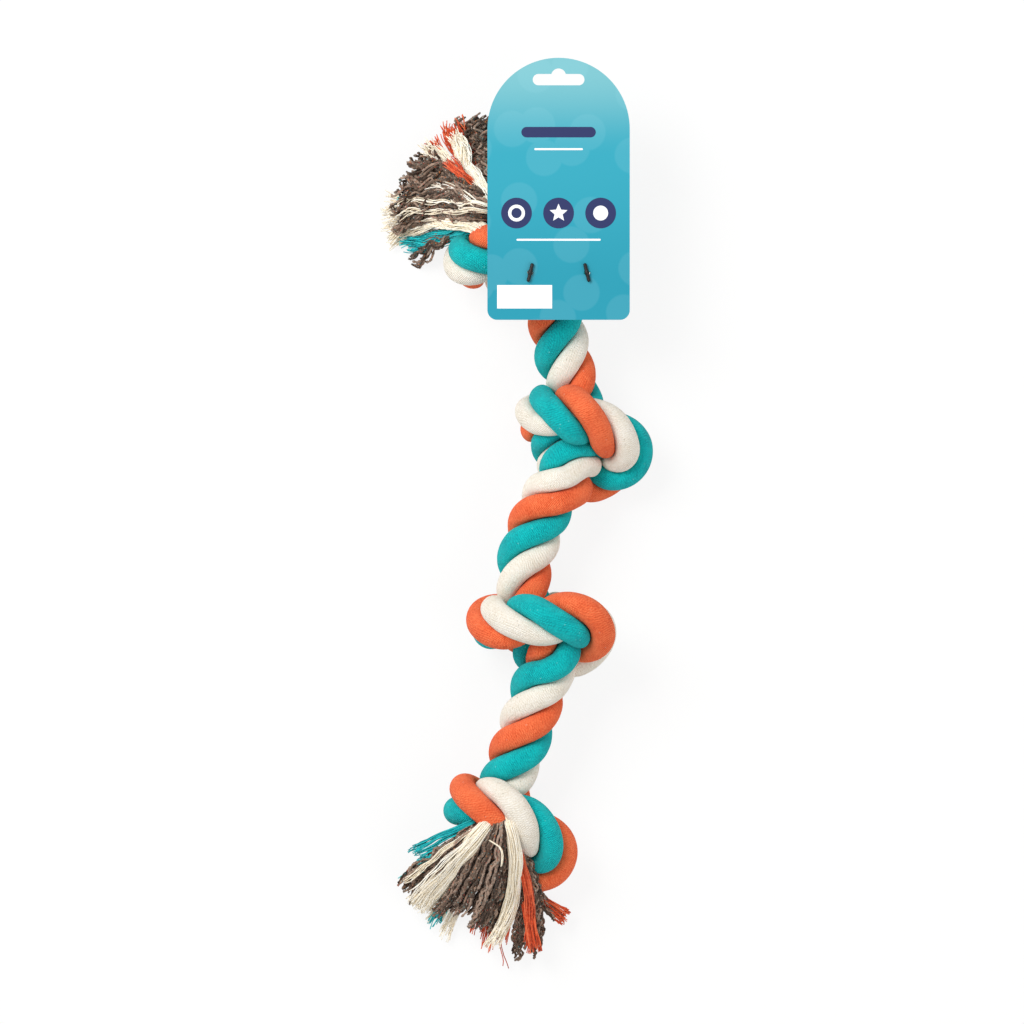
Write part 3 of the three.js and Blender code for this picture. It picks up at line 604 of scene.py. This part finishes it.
loose_yarn = {
    "teal": yarn_material("loose_teal_cotton_thread", "#08868f", "#0db6bc", "#34cdce"),
    "orange": yarn_material("loose_orange_cotton_thread", "#b23a1c", "#e0562c", "#f07c50"),
    "cream": yarn_material("loose_cream_cotton_thread", "#e6d6b8", "#fff4de", "#fffbf2"),
    "core": yarn_material(
        "grey_recycled_core_yarn", "#35261c", "#6c584a", "#ac9280",
        ("#b4463c", "#cc7d45", "#d9d0c4", "#4a8f90"),
    ),
}

for k, tassel in enumerate(TASSELS):
    rng = np.random.default_rng(YARN_SEED + k)
    by_tuft = {}
    for lock in tassel["locks"]:
        by_tuft.setdefault(lock[0], []).append(lock)
    for tuft, locks in by_tuft.items():
        colour = "core" if "core" in tuft else tuft.split("_")[0]
        yarn = CORE_YARN if colour == "core" else THREAD
        points, faces, steps = [], [], []
        first = index = 0
        for lock in locks:
            tubes = yarn_tubes(lock_paths(lock, tassel, yarn, rng), yarn, rng) * MM
            for tube in tubes:
                tube_quads, tube_steps = tube_faces(len(tube), yarn["sides"], first)
                points.append(tube.reshape(-1, 3))
                faces += tube_quads
                # Kept under 1, so that the whole part of u is the yarn's index
                around = np.clip(tube_steps[:, 0] / yarn["sides"], 0, 0.99)
                steps.append(np.stack([index + around, tube_steps[:, 1] * yarn["step"] * MM], axis=1))
                first += tube.shape[0] * tube.shape[1]
                index += 1
        name = f"{tassel['name']}_{tuft}"
        points, lay = np.concatenate(points), np.concatenate(steps)
        piece = new_piece(f"{name}_loose", points, faces, loose_yarn[colour], lay)
        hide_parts(name)
        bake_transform(piece)

# Card tag. Coated paperboard, die-cut with an arched top, a hanging slot and two small holes, printed
# on the front only: teal shading to pale at the top, with soft discs. Its print is plain marks.
ARC_SIDES = 48  # sides of a round stretch of an outline
CORNER_SIDES = 12
SLOT_SIDES = 16
TAG_CORNER = 0.006
SLOT = {"width": 0.032, "height": 0.007, "margin": 0.010, "bump_radius": 0.0046, "bump_height": 0.0104}
HOLE_RADIUS = 0.0019
HOLE_SPACING = 0.035
HOLE_FROM_BOTTOM = 0.0292
INK_HEIGHT = 0.00005  # drawn thicker than real ink, so that it never flickers with the card
DISCS_PER_METRE = 34.0  # places for a printed soft disc, 29 mm apart
BAND = {"up": 0.116, "width": 0.046, "height": 0.0065}  # up is from the card's lower edge
BADGES = {"up": 0.066, "spacing": 0.026, "radius": 0.0095}
RING_RADII = (0.0052, 0.0032)
STAR_RADII = (0.0058, 0.0026)
STAR_POINTS = 5
BALL_RADIUS = 0.0046
RULE_HEIGHT = 0.0012
RULES = ((0.0495, 0.052), (0.1055, 0.03))  # up and width of the two lines
PANEL = {"left": -0.038, "right": -0.004, "bottom": 0.007, "top": 0.0215}  # from the card's middle
card_x = (card_low.x + card_high.x) / 2


def arc(x, y, radius, start, end, sides=ARC_SIDES):
    """Points of an arc round (x, y), from one angle to another in degrees."""
    angles = np.radians(np.linspace(start, end, sides + 1))
    return [(x + radius * math.cos(angle), y + radius * math.sin(angle)) for angle in angles]


def disc(x, y, radius):
    """A full circle round (x, y)."""
    return arc(x, y, radius, 0, 360)[:-1]


def pill(x, y, width, height):
    """A bar with round ends, middle at (x, y)."""
    reach = (width - height) / 2
    return arc(x + reach, y, height / 2, -90, 90) + arc(x - reach, y, height / 2, 90, 270)


def plate(name, outlines, low, high, *materials):
    """A flat closed plate cut to its outlines, where an outline inside another is a hole.
    The second material, where there is one, is on its edges and underside."""
    curve = bpy.data.curves.new(name, "CURVE")
    curve.dimensions = "2D"
    curve.fill_mode = "BOTH"
    curve.extrude = (high - low) / 2
    for outline in outlines:
        spline = curve.splines.new("POLY")
        spline.use_cyclic_u = True
        spline.points.add(len(outline) - 1)
        for point, (x, y) in zip(spline.points, outline):
            point.co = (x, y, 0, 1)
    pattern = bpy.data.objects.new(name, curve)
    mesh = bpy.data.meshes.new_from_object(pattern)
    bpy.data.objects.remove(pattern)
    solid = bmesh.new()
    solid.from_mesh(mesh)
    bmesh.ops.remove_doubles(solid, verts=solid.verts, dist=1e-7)
    bmesh.ops.recalc_face_normals(solid, faces=solid.faces)
    bmesh.ops.translate(solid, verts=solid.verts, vec=(0, 0, (low + high) / 2))
    for face in solid.faces:
        face.material_index = 0 if len(materials) == 1 or face.normal.z > 0.5 else 1
        face.smooth = False
    solid.to_mesh(mesh)
    solid.free()
    mesh.name = name
    mesh.materials.clear()
    for material in materials:
        mesh.materials.append(material)
    return placed(name, mesh)


def flat_finish(name, colour, roughness, specular):
    """One plain even finish, such as an ink or a bare board."""
    material = new_material(name)
    surface = add(
        material, "BsdfPrincipled",
        {"Base Color": linear(colour), "Roughness": roughness, "Specular IOR Level": specular},
    )
    add(material, "OutputMaterial", {"Surface": surface.outputs[0]})
    return material


# Satin coated print: the teal pales towards the arch, under large soft discs a little lighter than it
printed = new_material("satin_printed_card")
place = add(printed, "TexCoord")
split = add(printed, "SeparateXYZ", {0: place.outputs["Object"]})
rise = add(
    printed, "MapRange",
    {"Value": split.outputs[1], "From Min": card_low.y, "From Max": card_high.y},
)
shade = add(printed, "ValToRGB", {0: rise.outputs[0]})
shade.color_ramp.interpolation = "EASE"
shade.color_ramp.elements[0].position = 0.1
shade.color_ramp.elements[0].color = linear("#1e93a9")
shade.color_ramp.elements[1].position = 0.97
shade.color_ramp.elements[1].color = linear("#75b8c1")
shade.color_ramp.elements.new(0.62).color = linear("#2c9fb4")
cells = add(
    printed, "TexVoronoi",
    {"Vector": place.outputs["Object"], "Scale": DISCS_PER_METRE, "Randomness": 0.9},
    feature="F1", voronoi_dimensions="2D",
)
soft = add(
    printed, "MapRange",
    {
        "Value": cells.outputs["Distance"], "From Min": 0.36, "From Max": 0.4,
        "To Min": 0.07, "To Max": 0.0,
    },
)
paled = add(
    printed, "Mix",
    {"Factor": soft.outputs[0], "A": shade.outputs[0], "B": linear("#9fd8e2")},
    data_type="RGBA",
)
coat = add(
    printed, "BsdfPrincipled",
    {"Base Color": paled.outputs["Result"], "Roughness": 0.4, "Specular IOR Level": 0.3},
)
add(printed, "OutputMaterial", {"Surface": coat.outputs[0]})
# Uncoated board: off-white and dull, seen on the edges and the back
bare_board = flat_finish("white_uncoated_board", "#efede6", 0.85, 0.2)
# Printed inks: even, with the same satin shine as the card
navy_ink = flat_finish("navy_print_ink", "#28315f", 0.4, 0.3)
white_ink = flat_finish("white_print_ink", "#f4f7f8", 0.45, 0.3)

shoulder = card_high.y - (card_high.x - card_low.x) / 2
card_outline = arc(card_x, shoulder, (card_high.x - card_low.x) / 2, 0, 180)
corner_y = card_low.y + TAG_CORNER
card_outline += arc(card_low.x + TAG_CORNER, corner_y, TAG_CORNER, 180, 270, CORNER_SIDES)
card_outline += arc(card_high.x - TAG_CORNER, corner_y, TAG_CORNER, 270, 360, CORNER_SIDES)
slot_top = card_high.y - SLOT["margin"]
slot_middle = slot_top - SLOT["height"] / 2
bump_middle = slot_top - SLOT["height"] + SLOT["bump_height"] - SLOT["bump_radius"]
bump_angle = math.degrees(math.asin((slot_top - bump_middle) / SLOT["bump_radius"]))
slot_reach = (SLOT["width"] - SLOT["height"]) / 2
slot_outline = arc(card_x + slot_reach, slot_middle, SLOT["height"] / 2, -90, 90, SLOT_SIDES)
bump_ends = (bump_angle, 180 - bump_angle)
slot_outline += arc(card_x, bump_middle, SLOT["bump_radius"], *bump_ends, SLOT_SIDES)
slot_outline += arc(card_x - slot_reach, slot_middle, SLOT["height"] / 2, 90, 270, SLOT_SIDES)
hole_y = card_low.y + HOLE_FROM_BOTTOM
holes = [disc(card_x + side * HOLE_SPACING / 2, hole_y, HOLE_RADIUS) for side in (-1, 1)]
card_outlines = [card_outline, slot_outline, *holes]
card = plate("tag_card_board", card_outlines, card_low.z, card_high.z, printed, bare_board)
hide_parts("tag_card")

# The print: a navy band and three navy badges in a row, then, in white, a ring, a star and a ball on
# the badges, two lines and a blank panel
card_y = card_low.y
badges = [(card_x + k * BADGES["spacing"], card_y + BADGES["up"]) for k in (-1, 0, 1)]
navy_marks = [pill(card_x, card_y + BAND["up"], BAND["width"], BAND["height"])]
navy_marks += [disc(x, y, BADGES["radius"]) for x, y in badges]
(ring_x, badge_y), (star_x, _), (ball_x, _) = badges
half_point = 180 / STAR_POINTS
star_tips = arc(star_x, badge_y, STAR_RADII[0], 90, 450, STAR_POINTS)[:-1]
star_dips = arc(star_x, badge_y, STAR_RADII[1], 90 + half_point, 450 + half_point, STAR_POINTS)[:-1]
white_marks = [disc(ring_x, badge_y, radius) for radius in RING_RADII]
white_marks.append([corner for pair in zip(star_tips, star_dips) for corner in pair])
white_marks.append(disc(ball_x, badge_y, BALL_RADIUS))
white_marks += [pill(card_x, card_y + up, width, RULE_HEIGHT) for up, width in RULES]
panel = [
    (PANEL["left"], PANEL["bottom"]), (PANEL["right"], PANEL["bottom"]),
    (PANEL["right"], PANEL["top"]), (PANEL["left"], PANEL["top"]),
]
white_marks.append([(card_x + x, card_y + y) for x, y in panel])
navy_high = card_high.z + INK_HEIGHT
navy_print = plate("tag_navy_print", navy_marks, card_high.z, navy_high, navy_ink)
white_print = plate("tag_white_print", white_marks, card_high.z, navy_high + INK_HEIGHT, white_ink)
for piece in (card, navy_print, white_print):
    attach(piece, "tag")

# Bars and elastic loop. A black woven elastic cord goes round the neck of the first knot and up through
# the two holes, and ends in a moulded black bar that lies across each hole.
BAR = {"radius": 0.0011, "knob": 0.0004, "knob_length": 0.0011, "sides": 20, "rings": 40}
BAR_TIP = 0.08  # how far, in radians, the rings stop short of a bar's tips
BAR_GRAIN = 900.0  # specks of the moulding's grain from one side of a bar to the other
CORD_RADIUS = 0.0009
CORD_SIDES = 16
CORD_STEP = 0.0006
LOOP_MARKS = 30  # bearings round the loop's solid, between which its line is found
RIB_SCALE = 420.0  # gives a rib each 0.75 mm
CORD_EASING = 4  # times that the line of the loop is smoothed
CORD_SLACK = np.array((0.009, 0.002, 0))  # of its right side, room for the rope to bend
CORD_DROP = 0.020  # below the card, where the loop has all its slack
CORD_INSET = 0.0035  # of the loop from the card's lower edge, so that it stays behind the card
# Moulded plastic: black, with a dull shine broken by a fine grain
moulded = new_material("black_moulded_plastic")
grain = add(moulded, "TexNoise", {"Scale": BAR_GRAIN, "Detail": 3.0})
skin = add(moulded, "Bump", {"Height": grain.outputs[0], "Strength": 0.2, "Distance": 0.0001})
surface = add(
    moulded, "BsdfPrincipled",
    {
        "Base Color": linear("#151515"), "Roughness": 0.5, "Specular IOR Level": 0.4,
        "Normal": skin.outputs[0],
    },
)
add(moulded, "OutputMaterial", {"Surface": surface.outputs[0]})
for side in ("left", "right"):
    node = f"tag_{side}_bar"
    low, high = (np.array(corner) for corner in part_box(node))
    lean = 1 if side == "left" else -1
    wide, tall, _ = (high - low) / 2 - BAR["radius"]
    half = np.array((lean * wide, tall, 0))
    length = np.linalg.norm(half) + BAR["radius"]
    along = half / np.linalg.norm(half)
    across = np.array((-along[1], along[0], 0))
    place = -np.cos(np.linspace(BAR_TIP, math.pi - BAR_TIP, BAR["rings"])) * length
    end = np.clip((np.abs(place) - length + BAR["radius"]) / BAR["radius"], 0, 1)
    knob = BAR["knob"] * np.exp(-((place / BAR["knob_length"]) ** 2))
    thick = BAR["radius"] * np.sqrt(1 - end**2) + knob
    angle = 2 * math.pi * np.arange(BAR["sides"])[:, None] / BAR["sides"]
    around = np.cos(angle) * across + np.sin(angle) * np.array((0, 0, 1))
    middle = (low + high) / 2
    rings = middle + place[:, None, None] * along + thick[:, None, None] * around
    faces, _ = tube_faces(BAR["rings"], BAR["sides"])
    piece = new_piece(f"{node}_moulding", rings.reshape(-1, 3), faces, moulded)
    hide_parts(node)
    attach(piece, "tag")

# Woven elastic: matt, with fine ribs round the cord
woven = new_material("black_woven_elastic")
lay = add(woven, "UVMap", uv_map="lay")
ribs = add(
    woven, "TexWave",
    {"Vector": lay.outputs[0], "Scale": RIB_SCALE, "Distortion": 0.4},
    bands_direction="Y",
)
weave = add(woven, "Bump", {"Height": ribs.outputs[1], "Strength": 0.6, "Distance": 0.0002})
surface = add(
    woven, "BsdfPrincipled",
    {
        "Base Color": linear("#1b1b1c"), "Roughness": 0.85, "Specular IOR Level": 0.2,
        "Normal": weave.outputs[0],
    },
)
add(woven, "OutputMaterial", {"Surface": surface.outputs[0]})
loop_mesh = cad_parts["tag_elastic_loop"].data
spots = np.array([vertex.co for vertex in loop_mesh.vertices])
loop_low, loop_high = (np.array(corner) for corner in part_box("tag_elastic_loop"))
loop_middle = (loop_low + loop_high) / 2
bearing = np.arctan2(spots[:, 0] - loop_middle[0], spots[:, 2] - loop_middle[2]) % (2 * math.pi)
bins = np.linspace(bearing.min(), bearing.max(), LOOP_MARKS)
inside = np.digitize(bearing, bins[1:-1])
knots = np.array([spots[inside == k].mean(axis=0) for k in range(len(bins) - 1) if (inside == k).any()])
knots[:, 1] = np.maximum(knots[:, 1], card_low.y + CORD_INSET)
for _ in range(CORD_EASING):
    knots[1:-1] = (knots[:-2] + 2 * knots[1:-1] + knots[2:]) / 4
right = np.clip((knots[:, 0] - loop_middle[0]) / (loop_high[0] - loop_middle[0]), 0, 1)
below = np.clip((card_low.z - knots[:, 2]) / CORD_DROP, 0, 1)
knots += (right * below)[:, None] * CORD_SLACK
cord = smooth_path(knots, CORD_STEP)
cord_rows = cord[:, None] + CORD_RADIUS * side_ways(cord, CORD_SIDES)
faces, steps = tube_faces(len(cord_rows), CORD_SIDES)
lay = steps * (1 / CORD_SIDES, CORD_STEP)
elastic = new_piece("tag_elastic_cord", cord_rows.reshape(-1, 3), faces, woven, lay)
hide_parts("tag_elastic_loop")
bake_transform(elastic)

# Studio. A sheet of white paper for a floor, a large soft lamp from the upper left, a weaker one from
# the lower right and even light from all round. The paper looks pure white but keeps a faint shadow.
FLOOR_REACH = 9.0
FLOOR_DROP = 0.0002  # below the toy, so that it doesn't flicker where the rope rests on it
FLOOR_GLOW = 0.85  # how much of the paper's look is plain white
EVEN_LIGHT = 0.55
floor_mesh = bpy.data.meshes.new("floor")
corners = [(x * FLOOR_REACH, y * FLOOR_REACH, 0) for x, y in ((-1, -1), (1, -1), (1, 1), (-1, 1))]
floor_mesh.from_pydata(corners, [], [(0, 1, 2, 3)])
floor = placed("floor", floor_mesh)
floor.location.z = -FLOOR_DROP
paper = new_material("white_paper_sweep")
ray = add(paper, "LightPath")
seen = add(
    paper, "Math",
    {0: ray.outputs["Is Camera Ray"], 1: ray.outputs["Is Glossy Ray"]},
    operation="MAXIMUM",
)
mixed = add(paper, "Math", {0: seen.outputs[0], 1: FLOOR_GLOW}, operation="MULTIPLY")
matt = add(paper, "BsdfDiffuse", {"Color": linear("#f4f3f1")})
glow = add(paper, "Emission", {"Color": linear("#ffffff"), "Strength": 1.0})
sweep = add(paper, "MixShader", {0: mixed.outputs[0], 1: matt.outputs[0], 2: glow.outputs[0]})
add(paper, "OutputMaterial", {"Surface": sweep.outputs[0]})
floor_mesh.materials.append(paper)

world = bpy.data.worlds.new("studio")
world.use_nodes = True
background = world.node_tree.nodes["Background"]
background.inputs["Color"].default_value = linear("#ffffff")
background.inputs["Strength"].default_value = EVEN_LIGHT
bpy.context.scene.world = world


def soft_lamp(name, place, aim, size, watts):
    """A square softbox at a place, turned to what it is aimed at."""
    lamp = bpy.data.lights.new(name, "AREA")
    lamp.shape = "SQUARE"
    lamp.size = size
    lamp.energy = watts
    holder = placed(name, lamp)
    holder.location = place
    holder.rotation_euler = (Vector(aim) - Vector(place)).to_track_quat("-Z", "Y").to_euler()


soft_lamp("key_softbox", (-1.1, 1.0, 1.9), (0, 0, 0), 1.2, 42)
soft_lamp("fill_softbox", (1.4, -0.9, 1.8), (0, 0, 0), 1.6, 14)

# Camera. Straight above the toy on a long lens, framing the same 637 mm as the photograph, so that
# things near the floor and near the lens show at almost the same scale.
PHOTO_WIDTH = 0.637
CAMERA_HEIGHT = 6.0
TOY_MIDDLE_HEIGHT = 0.035
lens = bpy.data.cameras.new("camera")
lens.sensor_width = 36.0
lens.lens = lens.sensor_width * (CAMERA_HEIGHT - TOY_MIDDLE_HEIGHT) / PHOTO_WIDTH
lens.clip_end = 50.0
camera = placed("camera", lens)
camera.location = (*view_middle, CAMERA_HEIGHT)
bpy.context.scene.camera = camera
bpy.context.scene.view_settings.view_transform = "Standard"
